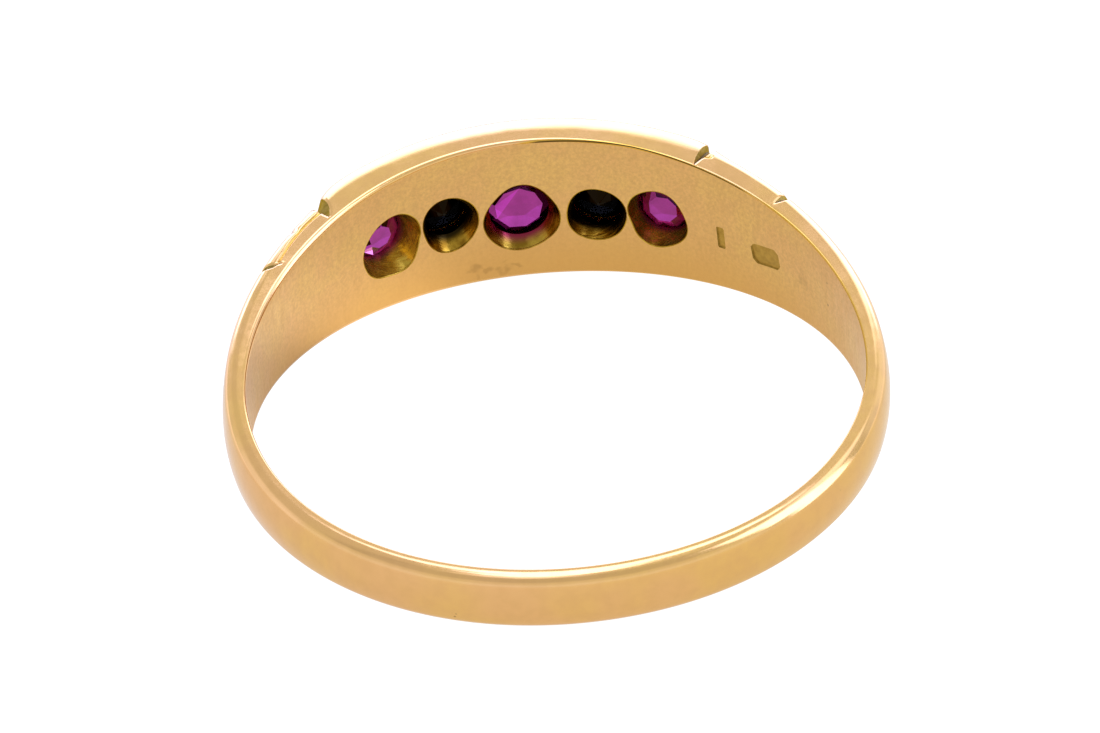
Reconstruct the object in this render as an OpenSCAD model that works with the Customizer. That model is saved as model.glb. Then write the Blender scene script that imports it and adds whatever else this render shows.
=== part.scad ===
// Five stone ring with a flush set head and a tapered band, lying on its side.
// The band is worked out around its own axis, Z, with the head towards +Y. Then it is
// tilted until the low edges of the head and of the back both touch the ground.
// Angles around the band are in degrees from the middle of the head, positive towards -X.

/* [Finger hole] */
// Inner diameter of the ring
bore_d = 17.5; // [15:0.1:21]

/* [Band] */
// Width across the middle of the head
head_w = 4.95; // [4.4:0.05:5.4]
// Width across the back of the band
back_w = 1.84; // [1.4:0.02:2.4]
// How soon the width falls away from the head, higher is sooner
taper_power = 5.4; // [4:0.1:7]
// Thickness along the two edges of the head
head_edge_t = 1.32; // [1.25:0.01:1.5]
// How much the middle of the head stands above its edges
head_dome = 0.3; // [0.25:0.01:0.4]
// Thickness along the two edges at the back of the band
back_edge_t = 0.5; // [0.45:0.01:0.8]
// How much the middle of the back stands above its edges
back_dome = 0.07; // [0.04:0.01:0.2]
// How much thicker than the back the shoulders start out
shoulder_extra_t = 0.62; // [0.4:0.02:0.7]
// Angle at which the shoulders have lost half of that
shoulder_half_angle = 53; // [45:1:65]
// How steeply they thin there, higher is steeper
shoulder_fall_power = 3.2; // [2:0.1:5]
// Radius of the rounded outer corners
corner_r = 0.27; // [0.2:0.01:0.35]

/* [Stones] */
// Radius of the centre ruby
centre_ruby_r = 1.25; // [1.2:0.01:1.28]
// Radius of the two outer rubies
outer_ruby_r = 1; // [0.95:0.01:1.01]
// Radius of the two diamonds
diamond_r = 0.93; // [0.88:0.01:0.94]
// Height of the centre ruby's girdle above the finger hole
centre_girdle_h = 1.17; // [1.1:0.01:1.2]
// Height of the diamonds' girdles above the finger hole
diamond_girdle_h = 1.16; // [1.1:0.01:1.2]
// Height of the outer rubies' girdles above the finger hole
outer_girdle_h = 1.12; // [1.08:0.01:1.15]
// Free space between a stone and its seat
seat_gap = 0.025; // [0.015:0.005:0.03]

/* [Shoulder cuts] */
// Depth of the notches at the ends of the head, measured from the finger hole
head_notch_floor = 0.85; // [0.7:0.05:0.95]
// Depth of the small notches at the ends of the shoulders, measured from the finger hole
shoulder_notch_floor = 0.7; // [0.6:0.02:0.8]
// Full angle of the notches
notch_angle = 70; // [50:5:90]
// Height above the finger hole at which the nicks in the side faces start
nick_floor = 0.22; // [0.15:0.01:0.4]
// How far the nicks lean into the band on their way out
nick_lean = 13; // [8:1:20]
// Depth of the lengthwise grooves on the shoulders
groove_depth = 0.14; // [0.05:0.01:0.2]

/* [Blank marks] */
// Depth of the two blank marks inside the band
mark_depth = 0.05; // [0.03:0.01:0.08]
// Length of the panel mark
panel_l = 1.15; // [0.8:0.05:1.3]
// Width of the panel mark
panel_w = 0.73; // [0.5:0.01:0.8]
// Length of the bar mark
bar_l = 0.75; // [0.5:0.05:0.9]
// Width of the bar mark
bar_w = 0.3; // [0.2:0.05:0.4]

/* [Hidden] */

bore_r = bore_d / 2;
core_cut = 0.4;
section_step = 3;
corner_step = 22.5;
dome_steps = 6;
round_fn = 96;
girdle_sides = 16;
table_sides = 8;
gold = [0.85, 0.68, 0.40];
ruby = [0.62, 0.12, 0.48];
diamond = [0.88, 0.90, 0.92];

// One row for each stone: angle, offset along the axis, radius of the hole in the bore's wall,
// radius and height of the ledge inside it, radius of the stone, height of its girdle, colour.
// Heights are above the finger hole. The holes were cut by hand, so no two sit quite alike.
ANGLE = 0;
OFFSET = 1;
MOUTH_R = 2;
LEDGE_R = 3;
LEDGE_H = 4;
STONE_R = 5;
GIRDLE_H = 6;
COLOUR = 7;
STONES = [
    [26.6, -0.03, 0.98, 0.76, 0.75, outer_ruby_r, outer_girdle_h, ruby],
    [13.5, -0.08, 0.88, 0.62, 0.45, diamond_r, diamond_girdle_h, diamond],
    [-0.1, -0.28, 1.06, 0.88, 0.42, centre_ruby_r, centre_girdle_h, ruby],
    [-14.5, -0.28, 0.87, 0.7, 0.5, diamond_r, diamond_girdle_h, diamond],
    [-26.6, -0.15, 0.93, 0.82, 0.75, outer_ruby_r, outer_girdle_h, ruby],
];

// Proportions of a stone, as shares of its radius
table_share = 0.56;
crown_share = 0.3;
pavilion_share = 0.62;
culet_share = 0.4;
girdle_t = 0.06;

// Height of the metal lip over a stone's crown, and the width of the bevel around it
lip_h = 0.14;
flare = 0.5;

// Angles of the cuts on the left shoulder and on the right one
head_notches = [39.4, -34.9];
shoulder_notches = [54.2, -52.2];
// Where the lengthwise grooves run on each shoulder: in from the side face, down from the top
groove_spots = [[0.08, 0.08], [0.4, 0]];
// How far the cutters of the notches and nicks reach out from their sharp edges
cutter_reach = 2;

// Where the blank marks sit and how they are turned
panel_angle = -51;
panel_offset = -0.12;
panel_turn = -11;
// How much each corner of the panel mark is cut off
panel_corner = 0.12;
bar_angle = -39.2;
bar_offset = -0.22;

// The head's plate ends at the two notches, and the shoulders start lower than it
head_middle = (head_notches[0] + head_notches[1]) / 2;
head_half_angle = (head_notches[0] - head_notches[1]) / 2;
head_step_power = 24;

// A share that stays near 1, is a half at the half angle, and then falls towards 0
function fall(a, half_angle, power) = 1 / (1 + pow(abs(a) / half_angle, power));
function half_width(a) = (back_w + (head_w - back_w) * pow(abs(cos(a / 2)), taper_power)) / 2;
function shoulder_t(a) =
    back_edge_t + shoulder_extra_t * fall(a, shoulder_half_angle, shoulder_fall_power);
function edge_t(a) =
    let (plate = fall(a - head_middle, head_half_angle, head_step_power))
    shoulder_t(a) + (head_edge_t - shoulder_t(a)) * plate;
function dome(a) =
    back_dome + (head_dome - back_dome) * (edge_t(a) - back_edge_t) / (head_edge_t - back_edge_t);

// Outline of the band at one angle, as radius and height, from the upper inner edge to the lower
function corner(a, side) = [
    for (t = [0 : corner_step : 90])
        let (turn = side > 0 ? t : 90 - t)
        [
            bore_r + edge_t(a) - corner_r + corner_r * sin(turn),
            side * (half_width(a) - corner_r + corner_r * cos(turn))
        ]
];
function dome_line(a) = [
    for (i = [1 : dome_steps - 1])
        let (u = 1 - 2 * i / dome_steps)
        [bore_r + edge_t(a) + dome(a) * (1 - u * u), u * (half_width(a) - corner_r)]
];
function outline(a) = concat(
    [[bore_r - core_cut, half_width(a)]],
    corner(a, 1),
    dome_line(a),
    corner(a, -1),
    [[bore_r - core_cut, -half_width(a)]]
);

// The band with a rough inside, swept through the outlines
module swept_band() {
    angles = [0 : section_step : 360 - section_step];
    rings = [for (a = angles) outline(a > 180 ? a - 360 : a)];
    around = len(rings);
    along = len(rings[0]);
    points = [
        for (k = [0 : around - 1], p = rings[k])
            [-p[0] * sin(k * section_step), p[0] * cos(k * section_step), p[1]]
    ];
    function at(k, i) = (k % around) * along + (i % along);
    faces = [
        for (k = [0 : around - 1], i = [0 : along - 1], half = [0, 1])
            half == 0
                ? [at(k, i), at(k + 1, i + 1), at(k, i + 1)]
                : [at(k, i), at(k + 1, i), at(k + 1, i + 1)]
    ];
    polyhedron(points, faces, convexity = 10);
}

// Puts a child that points along +Z onto a spot of the band, pointing outwards
module at_spot(angle, offset) {
    rotate([0, 0, angle]) translate([0, 0, offset]) rotate([-90, 0, 0]) children();
}

function crown_h(r) = crown_share * r;
function pavilion_h(r) = pavilion_share * r;

module stone(row) {
    r = row[STONE_R];
    color(row[COLOUR])
        at_spot(row[ANGLE], row[OFFSET])
            translate([0, 0, bore_r + row[GIRDLE_H]])
                hull() {
                    cylinder(h = girdle_t, r = r, $fn = girdle_sides);
                    translate([0, 0, -pavilion_h(r)])
                        cylinder(
                            h = pavilion_h(r) + girdle_t + crown_h(r),
                            r1 = culet_share * r,
                            r2 = table_share * r,
                            $fn = table_sides
                        );
                }
}

// Cone shaped open hole, ledge, wider seat up to the girdle, and a lip that leans over the crown
module seat(row) {
    r = row[STONE_R];
    wide = r + seat_gap;
    girdle_top = row[GIRDLE_H] + girdle_t + seat_gap;
    lean = (r - table_share * r) / crown_h(r);
    at_spot(row[ANGLE], row[OFFSET])
        rotate_extrude($fn = round_fn)
            polygon([
                [0, bore_r - core_cut],
                [row[MOUTH_R], bore_r - core_cut],
                [row[MOUTH_R], bore_r],
                [row[LEDGE_R], bore_r + row[LEDGE_H]],
                [wide, bore_r + row[GIRDLE_H] - seat_gap],
                [wide, bore_r + girdle_top],
                [wide - lip_h * lean, bore_r + girdle_top + lip_h],
                [wide - lip_h * lean + flare, bore_r + girdle_top + lip_h + flare],
                [0, bore_r + girdle_top + lip_h + flare],
            ]);
}

// A cutter with a sharp lower edge, across the whole band
module notch(angle, floor_t) {
    spread = cutter_reach * tan(notch_angle / 2);
    rotate([0, 0, angle])
        translate([0, bore_r + floor_t, -head_w])
            linear_extrude(height = 2 * head_w)
                polygon([[0, 0], [spread, cutter_reach], [-spread, cutter_reach]]);
}

// V grooves down both side faces, which get deeper on their way out
module side_nicks(angle) {
    spread = cutter_reach * tan(notch_angle / 2);
    rotate([0, 0, angle])
        for (flip = [0, 1])
            mirror([0, 0, flip])
                translate([0, bore_r + nick_floor, half_width(angle)])
                    rotate([-90 - nick_lean, 0, 0])
                        linear_extrude(height = cutter_reach)
                            polygon([[0, 0], [spread, -cutter_reach], [-spread, -cutter_reach]]);
}

// A straight groove with a square edge down, from one notch to the next
module shoulder_groove(from, to, side, spot) {
    function on_top(a) = [
        -(bore_r + shoulder_t(a) - spot[1]) * sin(a),
        (bore_r + shoulder_t(a) - spot[1]) * cos(a),
        side * (half_width(a) - spot[0])
    ];
    p = on_top(from);
    q = on_top(to);
    run = q - p;
    flat = norm([run[0], run[1]]);
    width = groove_depth * sqrt(2);
    translate(p)
        rotate([0, -atan2(run[2], flat), atan2(run[1], run[0])])
            rotate([45, 0, 0])
                translate([0, -width / 2, -width / 2])
                    cube([norm(run), width, width]);
}

module blank_marks() {
    reach = bore_r + mark_depth;
    x = panel_l / 2;
    y = panel_w / 2;
    c = panel_corner;
    at_spot(panel_angle, panel_offset)
        rotate([0, 0, panel_turn])
            linear_extrude(height = reach)
                polygon([
                    [x, y - c], [x - c, y], [c - x, y], [-x, y - c],
                    [-x, c - y], [c - x, -y], [x - c, -y], [x, c - y],
                ]);
    at_spot(bar_angle, bar_offset)
        translate([-bar_w / 2, -bar_l / 2, 0]) cube([bar_w, bar_l, reach]);
}

module band() {
    color(gold)
        difference() {
            swept_band();
            translate([0, 0, -head_w]) cylinder(h = 2 * head_w, r = bore_r, $fn = round_fn);
            for (row = STONES) seat(row);
            for (a = head_notches) notch(a, head_notch_floor);
            for (a = shoulder_notches) notch(a, shoulder_notch_floor);
            for (a = concat(head_notches, shoulder_notches)) side_nicks(a);
            for (k = [0, 1], side = [-1, 1])
                shoulder_groove(head_notches[k], shoulder_notches[k], side, groove_spots[k]);
            blank_marks();
        }
}

// Pose on the ground: the head rests on the middle of its lower inner rim, and the back on its
// rounded lower corner, so the ground is the line from that rim that just touches that corner
head_rim = [bore_r, -half_width(0)];
back_corner = [-bore_r - edge_t(180) + corner_r, -half_width(180) + corner_r];
between = head_rim - back_corner;
rest_tilt = atan2(-between[1], between[0]) - asin(corner_r / norm(between));
rest_lift = -head_rim[0] * sin(rest_tilt) - head_rim[1] * cos(rest_tilt);
rest_shift = -(edge_t(0) + dome(0) - edge_t(180) - dome(180)) / 2 * cos(rest_tilt);
module rest() {
    translate([0, rest_shift, rest_lift]) rotate([rest_tilt, 0, 0]) children();
}

module ring_band() { rest() band(); }
module ruby_left() { rest() stone(STONES[0]); }
module diamond_left() { rest() stone(STONES[1]); }
module ruby_centre() { rest() stone(STONES[2]); }
module diamond_right() { rest() stone(STONES[3]); }
module ruby_right() { rest() stone(STONES[4]); }

ring_band();
ruby_left();
diamond_left();
ruby_centre();
diamond_right();
ruby_right();
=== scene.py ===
"""Looks of a flush set ring with three rubies and two diamonds, in the row's frame.

The band is worked out around its own axis, Z, in millimetres, with the head towards +Y.
Angles around it are in degrees from the middle of the head, positive towards -X.
to_row() then puts it on the ground the way that the CAD does.
"""

import math

import bmesh
import bpy
import numpy as np
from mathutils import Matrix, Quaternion, Vector


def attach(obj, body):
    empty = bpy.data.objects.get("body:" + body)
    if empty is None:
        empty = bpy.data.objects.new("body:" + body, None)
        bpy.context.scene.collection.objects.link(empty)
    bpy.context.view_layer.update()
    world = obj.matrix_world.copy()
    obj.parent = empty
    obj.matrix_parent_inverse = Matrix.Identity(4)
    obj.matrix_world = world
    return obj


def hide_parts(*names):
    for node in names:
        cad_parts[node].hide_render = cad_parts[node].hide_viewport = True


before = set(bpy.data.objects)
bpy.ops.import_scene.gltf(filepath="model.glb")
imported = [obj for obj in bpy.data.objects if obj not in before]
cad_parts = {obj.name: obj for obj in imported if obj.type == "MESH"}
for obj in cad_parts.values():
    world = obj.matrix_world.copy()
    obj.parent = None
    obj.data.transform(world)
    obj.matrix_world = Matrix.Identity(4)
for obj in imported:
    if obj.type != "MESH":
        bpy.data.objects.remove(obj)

MM = 0.001
RANDOM_SEED = 7

# Pose of the ring on the ground
REST_TILT = math.radians(5.00554)
REST_TURN = np.array([
    [1, 0, 0],
    [0, math.cos(REST_TILT), -math.sin(REST_TILT)],
    [0, math.sin(REST_TILT), math.cos(REST_TILT)],
])
REST_PLACE = np.array([0, -0.515248, 1.702105])

# Camera, in millimetres in the row's frame
CAMERA_PLACE = Vector((-16.2827, -195.359, 132.2887))
CAMERA_AIM = Vector((-0.0964, -0.1542, 2.5))
CAMERA_ROLL = math.radians(3.6464)
CAMERA_LENS = 271.66
SENSOR_WIDTH = 36
CAMERA_CLIP = (0.01, 10)

# The bore's radius, and how far it is worn out of round: times around, cosine share, sine share
BORE_R = 8.75
OUT_OF_ROUND = [(2, -0.0018, -0.0073), (3, 0.01, 0.0002)]

# Widths and thicknesses of the band. What falls off from an angle is: size, angle, half angle, power.
HEAD_W = 4.952
BACK_W = 1.839
TAPER_POWER = 5.44
BACK_T = 0.5
SHOULDERS_T = [(0.62, 0, 53, 3.2), (0.1, 0, 75, 8)]
PLATE_T = 1.41
PLATE = (1, 0.25, 35.55, 24)

# Rounded corner of the section, on the shank and on the head's plate: how far it reaches in radius
# and drops in height. The dome over the corners bulges a little more on the shoulders.
SHANK_REACH = 0.44
PLATE_REACH = 0.7
PLATE_MIDDLE_REACH = (0.27, -8, 32, 4)
SHANK_DROP = 0.42
PLATE_DROP = 0.35
SHANK_DOME = 0.07
PLATE_DOME = 0.17
SHOULDER_DOME = (0.1, 0, 60, 4)
RIM_R = 0.04
RIM_EXTRA = (0.1, 45, 55, 4)

# Places on the outline: 0 at the bore's upper rim, 1 to 2 on the side face, 2 to 3 on the rounded
# corner, 3 to 4 on the dome, and then the same down to the lower rim
MIDDLE_PLACE = 3.5
LAST_PLACE = 7

# Notches across the band. Each has its window of angles, then rows of: place on the outline,
# angles of the lower lip, the bottom and the upper lip, and depth.
NOTCHES = {
    "left_head": ((33.6, 43), [
        (1.15, 39.5, 39.65, 39.8, 0),
        (1.3, 38.9, 39.65, 39.9, 0.06),
        (1.6, 38, 39.65, 39.95, 0.12),
        (1.95, 37.2, 39.6, 40, 0.17),
        (2.3, 36.6, 39.4, 39.8, 0.2),
        (2.7, 36, 39.3, 39.8, 0.22),
    ]),
    "left_shoulder": ((50.5, 58), [
        (1.37, 53.5, 53.65, 53.8, 0),
        (1.74, 53.9, 54.2, 54.5, 0.04),
        (2.13, 54.8, 55.5, 56, 0.08),
        (2.7, 55.2, 56, 56.8, 0.09),
    ]),
    "right_head": ((-37, -33.2), [
        (1, -34.5, -34.4, -34.3, 0.02),
        (1.57, -34.9, -34.25, -33.7, 0.14),
        (2.03, -35.4, -34.2, -33.5, 0.2),
        (2.3, -35.6, -34.1, -33.4, 0.22),
        (2.7, -35.6, -34.1, -33.4, 0.22),
    ]),
    "right_shoulder": ((-54.5, -49.5), [
        (1.25, -52.2, -52.07, -51.9, 0),
        (1.7, -52.5, -52.1, -51.6, 0.04),
        (2.12, -52.9, -52.3, -51.3, 0.07),
        (2.7, -53, -52.4, -51, 0.08),
    ]),
}
NOTCH_COLUMNS = (7, 9, 9, 7)
NOTCH_RELAXED_UNTIL = 0.6

# Lines along the band: points of angle and place, half width, depth, fade in degrees, then a share of
# painted shade, which is 0.5 for the deeper yellow painted in the shoulders' grooves and up to 1 for a
# dark reflection painted along the inner rim
LINES = [
    ([(39.3, 1.9), (42, 2), (44.8, 2.04), (49.3, 2.01), (54.2, 1.87)], 0.16, 0.06, 0.4, 0.5),
    ([(-36.4, 2.03), (-34.9, 1.86)], 0.14, 0.05, 0.3, 0.5),
    # These two lines are a dark reflection painted along the inner rim
    ([(-50, 0.2), (-40, 0.2), (-31, 0.35), (-22, 0.6), (-12, 0.3), (1, 0)], 0.6, 0, 5, 1),
    ([(-112, 0.5), (-44, 0.5)], 0.9, 0, 10, 0.62),
]
# Worn dip in the ridge of the left shoulder: angle, half width in degrees, depth, and the places
# between which it grows to its depth
DIP = (45.8, 1.4, 0.05, 2.12, 2.32)

# Places on the outline where it is sampled, from the bore's upper rim to the end of the rounded
# corner. The stones' blocks lie between two heights on the dome and two on the wall, in shares of
# the half width.
RIM_ROWS = [0, 0.2, 0.4, 0.6, 0.8, 1]
SIDE_ROWS = [1.06, 1.12, 1.25, 1.38, 1.5, 1.6, 1.68, 1.74, 1.79, 1.83, 1.87, 1.91, 1.95, 1.98, 2]
CORNER_ROWS = [2.03, 2.06, 2.1, 2.14, 2.18, 2.23, 2.29, 2.36, 2.44, 2.52, 2.61, 2.7, 2.8, 2.9]
DOME_STONE_ROWS = (0.7, -0.8)
DOME_EDGE_ROWS = 4
WALL_STONE_ROWS = (-0.76, 0.62)
WALL_EDGE_ROWS = 3
STONE_ROWS = 24

# Columns of the mesh around the band: in a stone's block, step in degrees elsewhere, blocks' bounds
STONE_COLUMNS = 24
PLAIN_STEP = 1
STONE_BOUNDS = [33.6, 19.7, 7.45, -8.05, -20.38, -33.2]

# One row for each stone: CAD node; the stone's angle, height, radius and girdle's height; its
# ledge's radius and height; its hole's angle, height and mean radius, and how the hole is cut out
# of round: times around, cosine share and sine share in millimetres.
STONES = [
    ("ruby_left", (26.6, -0.03, 1, 1.12), (0.76, 0.75), (26.6, -0.03, 1.014, [
        (1, -0.044, -0.036), (2, -0.021, -0.016), (3, 0.031, 0.006),
        (4, -0.013, -0.011), (5, -0.005, 0.016), (6, 0.01, 0),
    ])),
    ("diamond_left", (13.5, -0.08, 0.93, 1.16), (0.62, 0.45), (13.54, -0.08, 0.897, [
        (1, 0.015, 0.029), (2, -0.056, 0.034), (3, -0.02, 0.019),
    ])),
    ("ruby_centre", (-0.1, -0.28, 1.25, 1.17), (0.88, 0.42), (-0.1, -0.28, 1.114, [
        (1, -0.034, -0.038), (2, -0.025, -0.011), (3, 0, -0.025), (4, 0.024, 0.012),
    ])),
    ("diamond_right", (-14.5, -0.28, 0.93, 1.16), (0.7, 0.5), (-14.66, -0.28, 0.892, [
        (1, 0.011, 0.008), (2, -0.021, -0.015), (3, -0.013, 0.003), (4, -0.008, -0.008),
    ])),
    ("ruby_right", (-26.6, -0.15, 1, 1.12), (0.82, 0.75), (-26.57, -0.15, 0.937, [
        (1, -0.002, -0.019), (2, -0.049, 0.023), (3, -0.013, 0.011), (4, 0.005, 0.03),
    ])),
]

# Seats: clearance round the stone, thickness of its girdle, height and lean of the lip over it, rows
# of the cone and of each strip behind it, shares by which the strips' directions go over from the
# hole's to the dome's, and the number of tries for where a bevel meets the dome
SEAT_GAP = 0.025
GIRDLE_T = 0.06
LIP_H = 0.14
BEVEL_LEAN = 1.4667
SEAT_ROWS = 6
STRIP_ROWS = 2
SEAT_BLENDS = (0.25, 0.5, 0.75)
BEVEL_TRIES = 12

# Rounding of the seats' mouths: its radius, then how far out and how far in its rows lie, in shares
MOUTH_ROUND = 0.035
MOUTH_ROWS = [(1, 0), (0.4, 0.1), (0.1, 0.4), (0, 1)]

# Layers of the mesh round a hole, round a mark and on a mark's floor
O_LAYERS = 6
MARK_LAYERS = 5
MARK_FLOOR_LAYERS = 4

# Steps for the slopes of the wall and the dome, how many steps a millimetre has when corners are
# welded, and the least length, cosine and level share that are divided by
NORMAL_STEP = 0.01
WELD_STEPS = 20000
LEAST_LENGTH = 1e-12
LEAST_FACING = 1e-3
LEAST_LEVEL = 1e-4

# How each stone is cut: sides, then in shares of its radius the table, the crown's height, the
# radius and depth of the back's middle ring and of its lowest ring, then turn, unevenness, and how
# far the middle ring is turned against the lowest one, in steps
CUTS = {
    "ruby_left": (8, 0.56, 0.3, 0.8, 0.38, 0.38, 0.62, 10, 0.03, 0),
    "diamond_left": (8, 0.56, 0.3, 0.62, 0.36, 0.05, 0.62, 5, 0.03, 0.5),
    "ruby_centre": (9, 0.58, 0.3, 0.84, 0.34, 0.58, 0.52, 14, 0.05, 0),
    "diamond_right": (8, 0.56, 0.3, 0.62, 0.36, 0.05, 0.62, 17, 0.03, 0.5),
    "ruby_right": (8, 0.56, 0.3, 0.84, 0.36, 0.46, 0.6, 20, 0.02, 0),
}

# Ring of corners between a stone's table and its girdle: how far it lies past the middle, in shares
# of the radius, and its height in shares of the crown's
STAR_OUT = 0.04
STAR_HEIGHT = 0.52

# Tints of facets, as numbers of the stones' material slots, where 0 is a clear facet; on the rubies the
# others are painted shade and painted glints
RED_PAINTED_SHADE, DEEP_PAINTED_SHADE, BRIGHT_PAINTED_GLINT, PALE_PAINTED_GLINT = range(1, 5)
DIAMOND_BACK = 1

# Facets of the backs with another tint, painted shade and painted glints on the rubies: the tint, from
# and up to which share of the radius, round which direction (0 is towards the left shoulder, 90 is up),
# within how many degrees
FACETS = {
    "ruby_left": [(RED_PAINTED_SHADE, 0.4, 1, -160, 100), (PALE_PAINTED_GLINT, 0.55, 0.65, -53, 8), (DEEP_PAINTED_SHADE, 0.45, 0.52, -78, 16)],
    "diamond_left": [(DIAMOND_BACK, 0, 1, 0, 180)],
    "ruby_centre": [(DEEP_PAINTED_SHADE, 0.58, 1, -125, 90), (BRIGHT_PAINTED_GLINT, 0.3, 0.45, 24, 20)],
    "diamond_right": [(DIAMOND_BACK, 0, 1, 0, 180)],
    "ruby_right": [(RED_PAINTED_SHADE, 0.5, 1, -75, 120)],
}

# Blank marks on the bore's wall: angles of the patch, angle and height of the middle, half length
# around, half width, cut off corner, turn in degrees
MARKS = [
    ((-43, -37), -40, -0.2, 0.13, 0.37, 0.03, -4),
    ((-56.2, -46), -50.9, -0.13, 0.56, 0.34, 0.14, -12),
]
MARK_DEPTH = 0.045
MARK_SLOPE = 0.03

# Finishes of the gold, as numbers of the band's material slots
POLISHED, SATIN, MARK, CUT, NOTCH_PAINTED_SHADE, SEAT_PAINTED_SHADE, SEAT_PAINTED_RUBY_REFLECTION, SEAT_PAINTED_LIT_RUBY_REFLECTION = range(8)
# The seats' finishes are gold with painted shade, and by the rubies a painted crimson reflection
SEAT_FINISHES = {
    "ruby_left": SEAT_PAINTED_LIT_RUBY_REFLECTION, "diamond_left": SEAT_PAINTED_SHADE, "ruby_centre": SEAT_PAINTED_RUBY_REFLECTION, "diamond_right": SEAT_PAINTED_SHADE,
    "ruby_right": SEAT_PAINTED_LIT_RUBY_REFLECTION,
}

# Depth from which a notch looks cut, and how near its bottom it has painted shade, in degrees
CUT_DEPTH = 0.02
NOTCH_SHADE_ANGLE = 0.16

# Small pits and stains: angle, height, distance from the axis, radius, share of the colour. They are
# darkest up to a share of their radius, and noise bends the outlines of the stains.
PIT_COLOUR = (0.2, 0.1, 0.03, 1)
PIT_CORE = 0.35
STAIN_BEND = (0.9, 0.9, 0.9)
WALL_PITS = [
    (51.75, -0.67, 8.8, 0.07, 0.8), (51.4, -0.78, 8.8, 0.06, 0.7), (48.46, -0.42, 8.8, 0.06, 0.6),
    (47.55, 0.4, 8.8, 0.06, 0.5), (-70.1, 0.66, 8.75, 0.05, 0.8), (-70.25, -0.12, 8.75, 0.06, 0.8),
    (35.1, 0.88, 8.8, 0.06, 0.5), (20.5, -1.3, 8.8, 0.05, 0.6), (21.2, -0.2, 8.8, 0.03, 0.4),
]
WALL_STAINS = [
    (5.5, -1.5, 9.25, 0.27, 0.3), (3.5, -1.55, 9.25, 0.22, 0.25), (1, -1.6, 9.25, 0.3, 0.28),
    (-1.5, -1.6, 9.25, 0.2, 0.25), (35, -0.2, 9.25, 0.15, 0.3), (45, 0.2, 9.25, 0.3, 0.25),
    (52, 0.1, 9.25, 0.35, 0.2), (-60, 0.3, 9.25, 0.4, 0.15),
]
SHANK_PITS = [
    (191.5, 0.62, 9.25, 0.05, 0.8), (230.9, 0.32, 9.4, 0.06, 0.7), (155.3, -0.55, 9.3, 0.05, 0.6),
    (134.5, 0.24, 9.35, 0.05, 0.6), (155.6, -0.42, 9.3, 0.04, 0.5),
]

WHITE = (1, 1, 1, 1)

# Polished gold: pinker and yellower patches, small duller ones, painted shade in the grooves, and a
# painted dark reflection along the rim
PINK_GOLD = (0.8, 0.47, 0.185, 1)
YELLOW_GOLD = (0.8, 0.49, 0.16, 1)
DULL_GOLD = (0.74, 0.43, 0.16, 1)
GROOVE_PAINTED_SHADE_GOLD = (0.68, 0.4, 0.06, 1)
RIM_PAINTED_SHADE = (0.08, 0.045, 0.01, 1)

# Satin gold of the bore's wall: two patches, upright streaks, speckles, and the darker gold of painted
# shade that it fades to towards the bottom, between two heights, with how far
WALL_GOLD = (0.8, 0.46, 0.165, 1)
PALE_WALL_GOLD = (0.81, 0.505, 0.155, 1)
STREAK_GOLD = (0.66, 0.4, 0.13, 1)
SPECKLE_GOLD = (0.62, 0.37, 0.13, 1)
SHADED_LOW_WALL_GOLD = (0.7, 0.39, 0.11, 1)
SHADED_LOW_WALL = (-2.4, 0.2, 0.9)

# Gold of the seats, darker than the rest as painted shade in the deep holes: name, two colours, the
# shares of the depth over which it turns to a third, that colour, and how metallic it looks. The third
# colour is painted shade, near black by the diamonds and a painted crimson reflection of the ruby by
# the rubies. The last row is a lighter, less metallic copy for the outer rubies, painted as more lit.
SEAT_GOLDS = [
    ("gold_seat_painted_shade", (0.22, 0.11, 0.008, 1), (0.5, 0.3, 0.03, 1), 0.3, 0.9, (0.02, 0.012, 0.003, 1), 1),
    ("gold_seat_painted_ruby_reflection", (0.22, 0.12, 0.01, 1), (0.45, 0.28, 0.035, 1), 0.2, 0.95, (0.22, 0.02, 0.04, 1), 1),
    ("gold_seat_painted_lit_ruby_reflection", (0.3, 0.17, 0.01, 1), (0.58, 0.38, 0.05, 1), 0.6, 1, (0.45, 0.03, 0.1, 1), 0.86),
]
SEAT_SHEEN = (0.8, 0.45, 0.08, 1)

# Rough gold of the marks, the cuts, and the painted shade at the cuts' bottoms: name, scale, detail and
# roughness of its grain, two colours, least and greatest roughness, strength of the bump, and the colour
# of its sheen. The cuts' darker colours are partly painted shade.
ROUGH_GOLDS = [
    ("gold_mark", 5, 4, 0.6, (0.38, 0.22, 0.035, 1), (0.52, 0.32, 0.06, 1), 0.36, 0.5, 0.5, WHITE),
    ("gold_cut", 6, 4, 0.65, (0.25, 0.165, 0.035, 1), (0.4, 0.28, 0.075, 1), 0.4, 0.55, 0.5,
     (0.8, 0.6, 0.25, 1)),
    # Painted shade at the bottoms of the notches
    ("gold_notch_painted_shade", 5, 3, 0.6, (0.11, 0.07, 0.02, 1), (0.22, 0.15, 0.05, 1), 0.4, 0.6, 0.4, WHITE),
]

# Tints of the stones, and of what their faces reflect
# The first ruby tint is the stone's own; the red and deep ones are painted shade on some back facets, the
# bright and pale ones painted glints
RUBY_TINTS = [
    ("ruby_clear", (0.26, 0.03, 0.175, 1), (0.36, 0.039, 0.25, 1)),
    ("ruby_red_painted_shade", (0.03, 0.0001, 0.0015, 1), (0.06, 0.0003, 0.004, 1)),
    ("ruby_deep_painted_shade", (0.0015, 0.00001, 0.0002, 1), (0.004, 0.00003, 0.0008, 1)),
    ("ruby_bright_painted_glint", (0.62, 0.045, 0.6, 1), (0.7, 0.055, 0.68, 1)),
    ("ruby_pale_painted_glint", (0.85, 0.55, 0.35, 1), (0.95, 0.75, 0.5, 1)),
]
RUBY_SHEEN = (0.5, 0.08, 0.35, 1)
RUBY_IOR = 1.77
DIAMOND_SHEEN = (0.05, 0.028, 0.009, 1)
DIAMOND_FRONT_TINT = 0.95
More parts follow.
